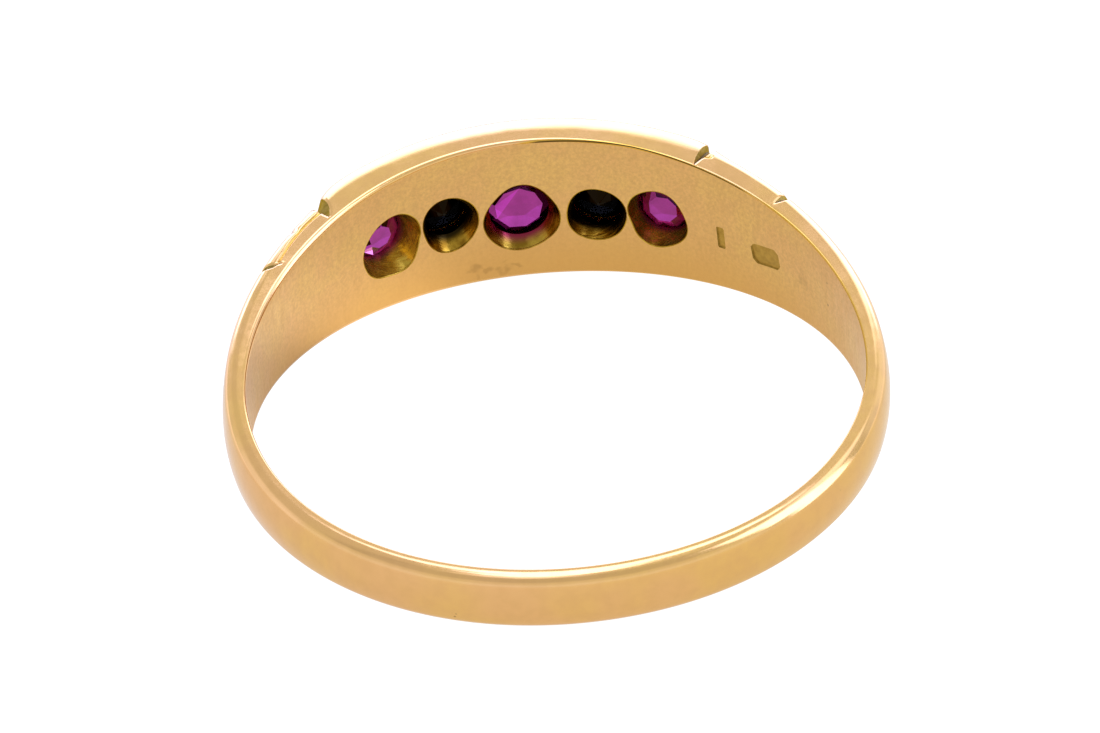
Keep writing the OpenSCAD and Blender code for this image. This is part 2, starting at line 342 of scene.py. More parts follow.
DIAMOND_BACK_TINT = 0.000002
DUST_TINT = (0.8, 0.75, 0.65)
DIAMOND_IOR = 2.42

# Floor's half size in metres, its own light, its paint, and in millimetres the spots of painted light
# and painted shadow: place, inner and outer radius, how much brighter, with painted shadow below nought.
# The back light is painted on it as glow beyond a distance, growing up to another, round an azimuth,
# within a half width and a soft edge in degrees, with a strength.
FLOOR_HALF = 0.7
FLOOR_GLOW = 0.82
FLOOR_PAINT = (0.07, 0.07, 0.07, 1)
FLOOR_ROUGHNESS = 0.9
FLOOR_SPOTS = [(-4, 7.2, 0.6, 3.4, 0.32), (-7.6, 4.6, 0.8, 3, -0.25)]
FLOOR_BOX = (14, 20, 6, 60, 30, 0.13)
FLOOR_TINTS = ((1, 0.97, 0.98, 1), (1, 0.97, 0.86, 1))
FLOOR_TINT_SPAN = 12

# Lights and shades in the studio. Each is: azimuth, half width and soft edge, elevation, half
# height and soft edge, all in degrees, then strength. The strongest soft box counts at each spot,
# haze adds to it, and shades dim the rest. The camera sees only a plain white backdrop.
BACKDROP = 1.1
BASE_LIGHT = (0.9, 0.93, 1)
BOX_LIGHT = (2, 2.2, 4.2)
SOFT_BOXES = [
    (6, 33, 6, -4, 17, 7, 1),
    (10, 25, 8, 15, 14, 12, 1),
    (102, 16, 5, 38, 16, 5, 1),
    (97, 10, 5, 14, 12, 5, 1),
    (120, 5, 5, 46, 7, 6, 0.9),
    (74, 12, 8, 46, 9, 6, 0.4),
    (27, 8, 8, 33, 5, 5, 0.45),
    (0, 180, 1, 90, 8, 5, 1),
    (14, 34, 12, 75, 12, 7, 1),
    (205, 22, 20, 80, 6, 10, 0.35),
]
HAZE = [
    (55, 12, 12, 5, 18, 12, 0.13),
    (-70, 8, 15, 5, 15, 15, 0.1),
    (200, 75, 15, 0, 12, 10, 0.06),
]
SHADES = [
    (190, 65, 20, 50, 12, 9, 0.2),
    (-60, 40, 15, 60, 25, 10, 0.1),
    (73, 8, 6, 15, 20, 12, 0.25),
]


def turn_to_row(vectors):
    return np.asarray(vectors) @ REST_TURN.T


def to_row(points):
    """Turns points of the ring's own frame, in millimetres, into the row's frame, in metres."""
    return (turn_to_row(points) + REST_PLACE) * MM


# Shape of the band

def wrap(a):
    return (a + 180) % 360 - 180


def fall(a, size, middle, half_angle, power):
    return size * (1 / (1 + (np.abs(wrap(a - middle)) / half_angle) ** power))


def upper(v):
    """Places on the outline, with those of its lower half mirrored to the upper one."""
    return np.where(v > MIDDLE_PLACE, LAST_PLACE - v, v)


def bore(a):
    share = np.ones_like(a, dtype=float)
    for times, c, s in OUT_OF_ROUND:
        share = share + c * np.cos(np.radians(times * a)) + s * np.sin(np.radians(times * a))
    return BORE_R * share


def half_width(a):
    taper = np.abs(np.cos(np.radians(wrap(a) / 2))) ** TAPER_POWER
    return (BACK_W + (HEAD_W - BACK_W) * taper) / 2


def plate_share(a):
    return fall(a, *PLATE)


def edge_t(a):
    shank = BACK_T + sum(fall(a, *extra) for extra in SHOULDERS_T)
    return shank + (PLATE_T - shank) * plate_share(a)


def rim_radius(a):
    return RIM_R + fall(a, *RIM_EXTRA)


def corner(a):
    """Reach, drop and last angle of the rounded corner, its middle's radius, dome's lean."""
    share = plate_share(a)
    reach = SHANK_REACH + (PLATE_REACH + fall(a, *PLATE_MIDDLE_REACH) - SHANK_REACH) * share
    drop = SHANK_DROP + (PLATE_DROP - SHANK_DROP) * share
    dome = SHANK_DOME + (PLATE_DOME - SHANK_DOME) * share + fall(a, *SHOULDER_DOME) * (1 - share)
    lean = np.arctan(2 * dome / (half_width(a) - drop))
    last = np.arctan(reach / drop / np.tan(lean))
    return reach, drop, last, bore(a) + edge_t(a) - reach, lean


def dome_edge(a):
    """Radius, half height and lean of the line where the rounded corner runs into the dome."""
    reach, drop, last, middle, lean = corner(a)
    return middle + reach * np.sin(last), half_width(a) - drop * (1 - np.cos(last)), lean


def outline(a, v):
    """Point and inward direction on the outline: radius, height, radial part, axial part."""
    w = upper(v)
    flip = np.where(v > MIDDLE_PLACE, -1.0, 1.0)
    hw, inner, rim_r = half_width(a), bore(a), rim_radius(a)
    reach, drop, last, middle, lean = corner(a)
    edge_r, edge_z, lean = dome_edge(a)
    rim = np.clip(w, 0, 1) * math.pi / 2
    side = np.clip(w - 1, 0, 1)
    turn = np.clip(w - 2, 0, 1) * last
    u = 1 - 2 * np.clip(w - 3, 0, 0.5)
    steep = np.hypot(drop * np.sin(turn), reach * np.cos(turn))
    parts = [w <= 1, w <= 2, w <= 3]
    r = np.select(parts, [
        inner + rim_r * (1 - np.cos(rim)),
        inner + rim_r + side * (middle - inner - rim_r),
        middle + reach * np.sin(turn),
    ], edge_r + np.tan(lean) * edge_z / 2 * (1 - u * u))
    z = np.select(parts, [
        hw - rim_r + rim_r * np.sin(rim),
        hw,
        hw - drop * (1 - np.cos(turn)),
    ], u * edge_z)
    dr = np.select(parts, [np.cos(rim), 0 * rim, -drop * np.sin(turn) / steep], -np.cos(lean * u))
    dz = np.select(parts, [-np.sin(rim), 0 * rim - 1, -reach * np.cos(turn) / steep], -np.sin(lean * u))
    return r, z * flip, dr, dz * flip


def place(a, r, z):
    a = np.radians(a)
    return np.stack(np.broadcast_arrays(-r * np.sin(a), r * np.cos(a), z), -1)


def notch_lines(rows, w):
    """The three angles and the depth of a notch at places w on the outline."""
    table = np.array(rows, float)
    return [np.interp(w, table[:, 0], table[:, k]) for k in range(1, 5)]


def notch_depth(a, w):
    """Depth of the notches, and how far each spot is from the bottom of its notch in degrees."""
    depth = np.zeros(np.broadcast(a, w).shape)
    away = np.full(depth.shape, 180.0)
    for window, rows in NOTCHES.values():
        left, bottom, right, deep = notch_lines(rows, w)
        deep = np.where(w < rows[0][0], 0, deep)
        below = np.clip((a - left) / (bottom - left), 0, 1)
        above = np.clip((right - a) / (right - bottom), 0, 1)
        here = deep * np.minimum(below, above)
        away = np.where(here > depth, np.abs(a - bottom), away)
        depth = np.maximum(depth, here)
    return depth, away


def line_share(a, w, line, half, fade):
    """0 outside a line and 1 along its middle."""
    line = np.array(sorted(line))
    across = np.clip(1 - np.abs(w - np.interp(a, line[:, 0], line[:, 1])) / half, 0, 1)
    along = np.clip((a - line[0, 0]) / fade, 0, 1) * np.clip((line[-1, 0] - a) / fade, 0, 1)
    return across * along


def carve(a, v):
    """How deep the notches, the grooves and the dip go into the outline."""
    w = upper(v)
    depth = notch_depth(a, w)[0]
    for line, half, deep, fade, painted_shade in LINES:
        depth = np.maximum(depth, deep * line_share(a, w, line, half, fade))
    middle, half, deep, start, full = DIP
    worn_away = np.clip(1 - np.abs(a - middle) / half, 0, 1) ** 2
    return depth + deep * worn_away * np.clip((w - start) / (full - start), 0, 1)


# Share of painted shade on the outline: a deeper yellow in the grooves, and a dark reflection painted along
# the inner rim
def painted_shades(a, v):
    share = np.zeros(np.broadcast(a, v).shape)
    for line, half, deep, fade, painted_shade in LINES:
        share = np.maximum(share, painted_shade * line_share(a, v, line, half, fade))
    return share


def cut_finish(a, v):
    """Finish of spots on the outline: dull and partly painted shade in the notches, with full painted shade
    at their bottoms.
    """
    depth, away = notch_depth(a, upper(v))
    return np.where(depth > CUT_DEPTH, np.where(away < NOTCH_SHADE_ANGLE, NOTCH_PAINTED_SHADE, CUT), POLISHED)


def outer_point(a, v):
    r, z, dr, dz = outline(a, v)
    deep = carve(a, v)
    return place(a, r + dr * deep, z + dz * deep)


# Columns and rows of the mesh

def outline_rows():
    rows = RIM_ROWS + SIDE_ROWS + CORNER_ROWS
    high, low = DOME_STONE_ROWS
    dome = np.concatenate([
        np.linspace(1, high, DOME_EDGE_ROWS + 1)[:-1],
        np.linspace(high, low, STONE_ROWS + 1),
        np.linspace(low, -1, DOME_EDGE_ROWS + 1)[1:],
    ])
    return np.array(rows + list(MIDDLE_PLACE - dome / 2) + [LAST_PLACE - v for v in reversed(rows)])


def wall_rows():
    low, high = WALL_STONE_ROWS
    return np.concatenate([
        np.linspace(-1, low, WALL_EDGE_ROWS + 1)[1:-1],
        np.linspace(low, high, STONE_ROWS + 1),
        np.linspace(high, 1, WALL_EDGE_ROWS + 1)[1:-1],
    ])


def notch_columns(window, rows, w):
    """Columns in a notch's window: they follow its lips and bottom, but are even at the bore's rim."""
    left, bottom, right, deep = notch_lines(rows, w)
    knots = [np.full(len(w), window[0]), left, bottom, right, np.full(len(w), window[1])]
    steps = sum(NOTCH_COLUMNS)
    even = window[0] + (window[1] - window[0]) * np.arange(steps) / steps
    share = np.clip((w - NOTCH_RELAXED_UNTIL) / (rows[0][0] - NOTCH_RELAXED_UNTIL), 0, 1)
    tight = [a + (b - a) * i / count
             for a, b, count in zip(knots, knots[1:], NOTCH_COLUMNS) for i in range(count)]
    return [a + (b - a) * share for a, b in zip(even, tight)], list(even)


def column_table(v):
    """Angle of every column at every place v on the outline, and the relaxed angles."""
    windows = dict(NOTCHES.values())
    bounds = sorted({-180, 180, *STONE_BOUNDS}.union(*windows, *(mark[0] for mark in MARKS)))
    columns, relaxed = [], []
    for start, end in zip(bounds, bounds[1:]):
        if (start, end) in windows:
            there, even = notch_columns((start, end), windows[start, end], upper(v))
        else:
            in_stone = min(STONE_BOUNDS) <= start < max(STONE_BOUNDS)
            steps = STONE_COLUMNS if in_stone else math.ceil((end - start) / PLAIN_STEP)
            even = [start + (end - start) * i / steps for i in range(steps)]
            there = [np.full(len(v), angle) for angle in even]
        columns += there
        relaxed += even
    return np.array(columns), np.array(relaxed)


def tangents(p, axis):
    """Tangent along an axis of a closed grid of points, weighted for uneven steps."""
    ahead = np.roll(p, -1, axis) - p
    behind = p - np.roll(p, 1, axis)
    h_ahead = np.linalg.norm(ahead, axis=-1, keepdims=True)
    h_behind = np.linalg.norm(behind, axis=-1, keepdims=True)
    return ahead * h_behind / h_ahead + behind * h_ahead / h_behind


def unit(v):
    return v / np.maximum(np.linalg.norm(v, axis=-1, keepdims=True), LEAST_LENGTH)


def four_corners(grid):
    """Values of a grid at the corners of each of its patches."""
    corners = [grid[:-1, :-1], grid[1:, :-1], grid[1:, 1:], grid[:-1, 1:]]
    return np.stack(corners, 2).reshape(-1, 4, *grid.shape[2:])


class Skin:
    """Collects four cornered patches with their normals, finishes and shares of painted shade, and welds
    them.
    """

    def __init__(self):
        self.parts = []

    def grid(self, points, normals, finish, keep=True, painted_shade=0):
        patches = np.subtract(points.shape[:2], 1)
        keep = np.broadcast_to(keep, patches).reshape(-1)
        finish = np.broadcast_to(finish, patches).reshape(-1)
        painted_shade = np.broadcast_to(painted_shade, points.shape[:2])
        values = [four_corners(points), four_corners(normals), finish, four_corners(painted_shade)]
        self.parts.append([value[keep] for value in values])

    def mesh(self, name):
        corners, normals, finish, painted_shade = (np.concatenate(values) for values in zip(*self.parts))
        across = np.cross(corners[:, 2] - corners[:, 0], corners[:, 3] - corners[:, 1])
        wrong = (across * normals.sum(1)).sum(-1) < 0
        for values in (corners, normals, painted_shade):
            values[wrong] = values[wrong][:, ::-1]
        keys = np.round(corners.reshape(-1, 3) * WELD_STEPS).astype(np.int64)
        first, index = np.unique(keys, axis=0, return_index=True, return_inverse=True)[1:]
        verts = corners.reshape(-1, 3)[first]
        faces, lean, slots = [], [], []
        for k, face in enumerate(index.reshape(-1, 4).tolist()):
            kept = [i for i in range(4) if face[i] not in face[:i]]
            if len(kept) > 2:
                faces.append([face[i] for i in kept])
                lean.extend(normals[k, kept])
                slots.append(int(finish[k]))
        mesh = bpy.data.meshes.new(name)
        mesh.from_pydata(to_row(verts).tolist(), [], faces)
        mesh.polygons.foreach_set("material_index", slots)
        mesh.polygons.foreach_set("use_smooth", [True] * len(faces))
        mesh.update()
        mesh.normals_split_custom_set(turn_to_row(unit(np.array(lean))).tolist())
        ring = mesh.attributes.new("ring_mm", "FLOAT_VECTOR", "POINT")
        ring.data.foreach_set("vector", verts.astype(np.float32).ravel())
        # Share of painted shade at each point, which the materials darken by
        painted_shade_layer = mesh.attributes.new("painted_shade", "FLOAT", "POINT")
        painted_shade_layer.data.foreach_set("value", painted_shade.reshape(-1)[first].astype(np.float32))
        return mesh


# Round holes and marks inside rectangles of the grid

def perimeter(grid, k0, k1, m0, m1):
    """Points of a grid's block in order around its edge, closed."""
    ring = [grid[k, m0] for k in range(k0, k1)]
    ring += [grid[k1, m] for m in range(m0, m1)]
    ring += [grid[k, m1] for k in range(k1, k0, -1)]
    ring += [grid[k0, m] for m in range(m1, m0, -1)]
    return np.array(ring + ring[:1])


def wall_point(a, z):
    return place(a, bore(a), z)


def wall_normal(a, z=0):
    along = wall_point(a + NORMAL_STEP, z) - wall_point(a - NORMAL_STEP, z)
    return unit(np.cross(np.array([0, 0, 1.0]), along))


def dome_radius(a, z):
    edge_r, edge_z, lean = dome_edge(a)
    return edge_r + np.tan(lean) * edge_z / 2 * (1 - (z / edge_z) ** 2)


def dome_point(a, z):
    return place(a, dome_radius(a, z), z)


def dome_normal(a, z):
    along = dome_point(a + NORMAL_STEP, z) - dome_point(a - NORMAL_STEP, z)
    up = dome_point(a, z + NORMAL_STEP) - dome_point(a, z - NORMAL_STEP)
    return unit(np.cross(along, up))


def angle_height(points):
    return np.degrees(np.arctan2(-points[..., 0], points[..., 1])), points[..., 2]


def polar(points, angle, height):
    """Directions of points on the wall or the dome, seen from a spot among them."""
    a, z = angle_height(points)
    return np.arctan2(z - height, np.radians(a - angle) * bore(angle))


def hole_loop(theta, hole, spread=0):
    """Angles and heights of a hole's outline on the bore's wall, in the directions theta."""
    angle, height, mean, cuts = hole
    r = mean + spread + sum(c * np.cos(n * theta) + s * np.sin(n * theta) for n, c, s in cuts)
    return angle + np.degrees(r * np.cos(theta) / bore(angle)), height + r * np.sin(theta)


def directions(angle):
    """Away from the ring's axis at an angle, around it the way that angles grow, and up."""
    a = math.radians(angle)
    return np.array([[-math.sin(a), math.cos(a), 0], [-math.cos(a), -math.sin(a), 0], [0, 0, 1]])


def local_circle(theta, radius, h, angle, height):
    """Circle round a stone's axis, at distance h from the ring's axis."""
    out, along, up = directions(angle)
    x = (radius * np.cos(theta))[:, None]
    y = (radius * np.sin(theta))[:, None]
    return np.broadcast_to(h, theta.shape)[:, None] * out + x * along + (y + height) * up


def layers_between(outer, inner, count):
    share = np.arange(count + 1) / count
    return outer[None] + (inner - outer)[None] * share[:, None, None]


def strip_normals(points, axis_point, axis):
    """Normals of rows of loops round an axis, facing it."""
    across = np.gradient(points, axis=0)
    ahead = np.roll(points[:, :-1], -1, 1) - np.roll(points[:, :-1], 1, 1)
    ahead = np.concatenate([ahead, ahead[:, :1]], 1)
    n = unit(np.cross(across, ahead))
    towards = axis_point - points
    towards = towards - (towards @ axis)[..., None] * axis
    return np.where((n * towards).sum(-1, keepdims=True) < 0, -n, n)


def add_patch(skin, ring, hole, count, point, normal, finish):
    """Fills a curved surface between the edge of a block and the outline of a hole in it."""
    layers = layers_between(ring, hole, count)
    a, z = angle_height(layers)
    layers = point(a, z)
    layers[0] = ring
    layers[-1] = hole
    skin.grid(layers, normal(a, z), finish)


def add_seat(skin, row, bevel, wall_theta, dome_theta):
    """The walls of a stone's seat, from its mouth in the bore to the bevel's edge on the dome."""
    name, (angle, height, stone_r, girdle_h), (ledge_r, ledge_h), hole = row
    finish = SEAT_FINISHES[name]
    axis, along, up = directions(angle)
    foot = up * height
    mouth = []
    for out, deep in MOUTH_ROWS:
        loop = hole_loop(wall_theta, hole, MOUTH_ROUND * out)
        mouth.append(wall_point(*loop) + axis * MOUTH_ROUND * deep)
    mouth = np.array(mouth)
    n = strip_normals(mouth, foot, axis)
    n[0] = wall_normal(hole_loop(wall_theta, hole)[0])
    skin.grid(mouth, n, finish)
    ledge = local_circle(wall_theta, ledge_r, BORE_R + ledge_h, angle, height)
    cone = layers_between(mouth[-1], ledge, SEAT_ROWS)
    # Share of painted shade, and by the rubies of a painted crimson reflection: it grows with depth down
    # the cone
    depth = np.linspace(0, 1, SEAT_ROWS + 1)[:, None]
    skin.grid(cone, strip_normals(cone, foot, axis), finish, painted_shade=depth)
    wide = stone_r + SEAT_GAP
    girdle_top = BORE_R + girdle_h + GIRDLE_T + SEAT_GAP
    thetas = [wall_theta + (dome_theta - wall_theta) * share for share in SEAT_BLENDS]
    lip_r = wide - LIP_H * BEVEL_LEAN
    loops = [
        ledge,
        local_circle(thetas[0], wide, BORE_R + girdle_h - SEAT_GAP, angle, height),
        local_circle(thetas[1], wide, girdle_top, angle, height),
        local_circle(thetas[2], lip_r, girdle_top + LIP_H, angle, height),
        bevel,
    ]
    # The strips under the stone get full painted shade, the bevel none
    looks = [(finish, 1), (finish, 1), (POLISHED, 0), (POLISHED, 0)]
    for first, second, (finish, painted_shade) in zip(loops, loops[1:], looks):
        strip = layers_between(first, second, STRIP_ROWS)
        skin.grid(strip, strip_normals(strip, foot, axis), finish, painted_shade=painted_shade)


def dome_loop(theta, stone):
    """Where the 45 degree bevel round a stone meets the dome."""
    angle, height, stone_r, girdle_h = stone
    lip_r = stone_r + SEAT_GAP - LIP_H * BEVEL_LEAN
    lip_h = BORE_R + girdle_h + GIRDLE_T + SEAT_GAP + LIP_H
    r = np.full_like(theta, lip_r)
    for _ in range(BEVEL_TRIES):
        h = lip_h + r - lip_r
        x = r * np.cos(theta)
        a = angle + np.degrees(np.arctan2(x, h))
        h = np.sqrt(dome_radius(a, height + r * np.sin(theta)) ** 2 - x ** 2)
        r = lip_r + h - lip_h
    return local_circle(theta, r, h, angle, height)


def mark_radius(theta, half_l, half_w, corner, turn):
    """Distance to the outline of a rectangle with cut off corners, whose sides face quarter turns."""
    t = theta - math.radians(turn)
    reach = (half_l + half_w - corner) * math.cos(math.pi / 4)
    sides = [(0, half_l), (1, half_w), (2, half_l), (-1, half_w)]
    sides += [(turns, reach) for turns in (0.5, 1.5, 2.5, 3.5)]
    options = []
    for turns, distance in sides:
        facing = np.cos(t - turns * math.pi / 2)
        options.append(np.where(facing > LEAST_FACING, distance / np.maximum(facing, LEAST_FACING), np.inf))
    return np.min(options, axis=0)


def add_mark(skin, mark, ring):
    """A blank mark inside a block of the wall: its slope and its floor."""
    bounds, angle, height, half_l, half_w, corner, turn = mark
    theta = polar(ring, angle, height)

    def loop(shrink, depth):
        r = np.maximum(mark_radius(theta, half_l, half_w, corner, turn) - shrink, 0)
        a = angle + np.degrees(r * np.cos(theta) / bore(angle))
        return place(a, bore(a) + depth, height + r * np.sin(theta)), a

    rim, rim_a = loop(0, 0)
    foot, foot_a = loop(MARK_SLOPE, MARK_DEPTH)
    add_patch(skin, ring, rim, MARK_LAYERS, wall_point, wall_normal, SATIN)
    skin.grid(layers_between(rim, foot, 1), wall_normal(np.stack([rim_a, foot_a])), MARK)
    middle = place(angle, bore(angle) + MARK_DEPTH, height)
    floor = layers_between(foot, middle, MARK_FLOOR_LAYERS)
    floor[-1] = middle
    skin.grid(floor, wall_normal(angle_height(floor)[0]), MARK)


def close(grid):
    """Repeats the first row and column of a grid after its last ones."""
    grid = np.concatenate([grid, grid[:, :1]], 1)
    return np.concatenate([grid, grid[:1]], 0)


def band_grid(v, columns, relaxed):
    """Points and normals of the band without holes: its outline, then the bore's wall."""
    f = wall_rows()
    wall_a = np.repeat(relaxed[:, None], len(f), 1)
    reach = half_width(relaxed) - rim_radius(relaxed)
    points = np.concatenate([outer_point(columns, v), wall_point(wall_a, reach[:, None] * f)], 1)
    normals = unit(np.cross(tangents(points, 1), tangents(points, 0)))
    normals[:, len(v):] = wall_normal(wall_a)
    return close(points), close(normals)


def band_looks(v, columns, shape):
    """Finish of each patch of the band's grid, and the share of painted shade at each of its points."""
    over = np.concatenate([columns, columns[:1] + 360])
    painted_shade = np.zeros(shape)
    painted_shade[:, :len(v)] = painted_shades(wrap(over), v)
    finish = np.full((shape[0] - 1, shape[1] - 1), SATIN)
    middle = (over[:-1, :-1] + over[1:, :-1] + over[:-1, 1:] + over[1:, 1:]) / 4
    finish[:, :len(v) - 1] = cut_finish(wrap(middle), (v[:-1] + v[1:]) / 2)
    return finish, painted_shade


def build_band():
    v = outline_rows()
    columns, relaxed = column_table(v)
    points, normals = band_grid(v, columns, relaxed)
    finish, painted_shade = band_looks(v, columns, points.shape[:2])
    keep = np.ones(finish.shape, bool)
    skin = Skin()
    dome_first = len(RIM_ROWS + SIDE_ROWS + CORNER_ROWS) + DOME_EDGE_ROWS
    wall_first = len(v) + WALL_EDGE_ROWS - 1
    column = {round(float(x), 3): k for k, x in enumerate(relaxed)}

    def block(bounds, first):
        """Cuts a block out of the grid and returns its edge."""
        k0, k1 = column[bounds[0]], column[bounds[1]]
        keep[k0:k1, first:first + STONE_ROWS] = False
        return perimeter(points, k0, k1, first, first + STONE_ROWS)

    for row in STONES:
        angle = row[1][0]
        bounds = max(b for b in STONE_BOUNDS if b < angle), min(b for b in STONE_BOUNDS if b > angle)
        add_setting(skin, row, block(bounds, wall_first), block(bounds, dome_first))
    for mark in MARKS:
        add_mark(skin, mark, block(mark[0], wall_first))
    skin.grid(points, normals, finish, keep, painted_shade)
    return skin.mesh("band_skin")


def add_setting(skin, row, wall_ring, dome_ring):
    """All of the band between the edges of a stone's blocks in the wall and in the dome."""
    name, stone, ledge, hole = row
    wall_theta = polar(wall_ring, *hole[:2])
    mouth = wall_point(*hole_loop(wall_theta, hole, MOUTH_ROUND))
    add_patch(skin, wall_ring, mouth, O_LAYERS, wall_point, wall_normal, SATIN)
    dome_ring, dome_theta = align(dome_ring, polar(dome_ring, *stone[:2]), wall_theta)
    bevel = dome_loop(dome_theta, stone)
    add_patch(skin, dome_ring, bevel, O_LAYERS, dome_point, dome_normal, POLISHED)
    add_seat(skin, row, bevel, wall_theta, dome_theta)


def align(ring, theta, like):
    """Turns and reverses a closed loop so that its directions run like those of another."""
    body, angles = ring[:-1], theta[:-1]
    best = None
    for reverse in (False, True):
        b = body[::-1] if reverse else body
        t = angles[::-1] if reverse else angles
        for shift in range(len(b)):
            off = np.angle(np.exp(1j * (np.roll(t, shift) - like[:-1])))
            score = (off ** 2).sum()
            if best is None or score < best[0]:
                best = (score, np.roll(b, shift, 0), np.roll(t, shift))
    _, b, t = best
    t = like[:-1] + np.angle(np.exp(1j * (t - like[:-1])))
    return np.concatenate([b, b[:1]]), np.concatenate([t, t[:1] + like[-1] - like[0]])


# Stones

def stone_points(stone, cut):
    """Corners of a brilliant like cut, a little uneven, in the row's frame."""
    sides, table, crown, middle_r, middle_h, culet_r, culet_h, turn, unevenness, offset = cut
    angle, height, r, girdle_h = stone
    rng = np.random.default_rng(RANDOM_SEED + int(abs(angle) * 10))
    rings = [
        (sides, table, GIRDLE_T + crown * r, 0),
        (sides, (1 + table) / 2 + STAR_OUT, GIRDLE_T + crown * r * STAR_HEIGHT, 0.5),
        (2 * sides, 1, GIRDLE_T, 0),
        (2 * sides, 1, 0, 0),
        (sides, middle_r, -middle_h * r, offset),
        (sides, culet_r, -culet_h * r, 0),
    ]
    out, along, up = directions(angle)
    points = []
    for count, share, h, step in rings:
        for k in range(count):
            t = math.radians(turn) + 2 * math.pi * (k + step) / count
            q = share * r * (1 - (rng.uniform(0, unevenness) if share < 1 else 0))
            spot = out * (BORE_R + girdle_h + h) + along * q * math.cos(t)
            points.append(spot + up * (height + q * math.sin(t)))
    return to_row(points)


def tint_facets(mesh, stone, facets):
    """Gives some of the facets of a stone's back another tint: painted shade and painted glints on the
    rubies, the dark back on the diamonds.
    """
    angle, height, r, girdle_h = stone
    out, along, up = directions(angle)
    middle = to_row(out * (BORE_R + girdle_h + GIRDLE_T / 2) + up * height)
    axes = turn_to_row([along, up, out])
    for polygon in mesh.polygons:
        x, y, h = axes @ (np.array(polygon.center) - middle) / MM
        share = math.hypot(x, y) / r
        for tint, start, end, direction, half in facets:
            aside = abs(wrap(math.degrees(math.atan2(y, x)) - direction))
            if h < 0 and start <= share <= end and aside <= half:
                polygon.material_index = tint


def stone_mesh(name, stone):
    bm = bmesh.new()
    for p in stone_points(stone, CUTS[name]):
        bm.verts.new(p)
    bmesh.ops.convex_hull(bm, input=bm.verts)
    bmesh.ops.recalc_face_normals(bm, faces=bm.faces)
    mesh = bpy.data.meshes.new(name)
    bm.to_mesh(mesh)
    bm.free()
    tint_facets(mesh, stone, FACETS[name])
    return mesh


# Materials

# Sockets of a node that mixes two colours: share, first and second colour, and its result
MIX_INPUTS = (0, 6, 7)
MIX_OUTPUT = 2


class Nodes:
    """Short names for shader nodes. An input takes a value or the output of another node."""

    def __init__(self, tree):
        self.tree = tree
        self.tree.nodes.clear()

    def add(self, kind, inputs=None, **settings):
        node = self.tree.nodes.new(kind)
        for key, value in settings.items():
            setattr(node, key, value)
        for key, value in (inputs or {}).items():
            if isinstance(value, bpy.types.NodeSocket):
                self.tree.links.new(value, node.inputs[key])
            elif value is not None:
                node.inputs[key].default_value = value
        return node

    def math(self, operation, a, b=None):
        return self.add("ShaderNodeMath", {0: a, 1: b}, operation=operation).outputs[0]

    def vector(self, operation, *values, output="Vector"):
        inputs = dict(enumerate(values))
        return self.add("ShaderNodeVectorMath", inputs, operation=operation).outputs[output]

    def scaled(self, colour, amount):
        inputs = {0: colour, "Scale": amount}
        return self.add("ShaderNodeVectorMath", inputs, operation="SCALE").outputs[0]

    def part(self, vector, axis):
        return self.add("ShaderNodeSeparateXYZ", {0: vector}).outputs[axis]

    def ring(self):
        return self.add("ShaderNodeAttribute", attribute_name="ring_mm").outputs["Vector"]

    # Share of painted shade that a mesh carries at each point
    def painted_shade(self):
        return self.add("ShaderNodeAttribute", attribute_name="painted_shade").outputs["Fac"]

    def spot(self):
        return self.add("ShaderNodeTexCoord").outputs["Object"]

    def spot_mm(self):
        return self.vector("MULTIPLY", self.spot(), (1 / MM, 1 / MM, 1 / MM))

    def camera_sees(self):
        return self.add("ShaderNodeLightPath").outputs["Is Camera Ray"]

    def noise(self, vector, scale, detail=2, roughness=0.5, output="Fac"):
        inputs = {"Vector": vector, "Scale": scale, "Detail": detail, "Roughness": roughness}
        return self.add("ShaderNodeTexNoise", inputs).outputs[output]

    def span(self, value, low, high, to_low, to_high):
        inputs = {"Value": value, "From Min": low, "From Max": high, "To Min": to_low, "To Max": to_high}
        return self.add("ShaderNodeMapRange", inputs, interpolation_type="SMOOTHSTEP").outputs["Result"]

    def mix(self, share, a, b):
        inputs = dict(zip(MIX_INPUTS, (share, a, b)))
        return self.add("ShaderNodeMix", inputs, data_type="RGBA").outputs[MIX_OUTPUT]

    def blend(self, a, b, value, low, high, share=1):
        """Colour a, with a share of colour b where a value rises from low to high."""
        return self.mix(self.span(value, low, high, 0, share), a, b)

    def bump(self, height, strength, distance, below=None):
        inputs = {"Strength": strength, "Distance": distance, "Height": height, "Normal": below}
        return self.add("ShaderNodeBump", inputs).outputs["Normal"]

    def surface(self, colour, roughness, normal=None, **more):
        inputs = {"Base Color": colour, "Roughness": roughness, "Normal": normal}
        inputs.update({key.replace("_", " "): value for key, value in more.items()})
        shader = self.add("ShaderNodeBsdfPrincipled", inputs)
        self.add("ShaderNodeOutputMaterial", {"Surface": shader.outputs[0]})


def new_material(name):
    material = bpy.data.materials.new(name)
    material.use_nodes = True
    return material, Nodes(material.node_tree)


def worn(n, ring, pits, colour):
    """Darkens small pits and stains. Each is: angle, height, distance from the axis, radius, share."""
    amount = None
    for angle, height, r, radius, share in pits:
        away = n.vector("DISTANCE", ring, place(angle, r, height), output="Value")
        here = n.span(away, radius * PIT_CORE, radius, share, 0)
        amount = here if amount is None else n.math("MAXIMUM", amount, here)
    return n.mix(amount, colour, PIT_COLOUR)


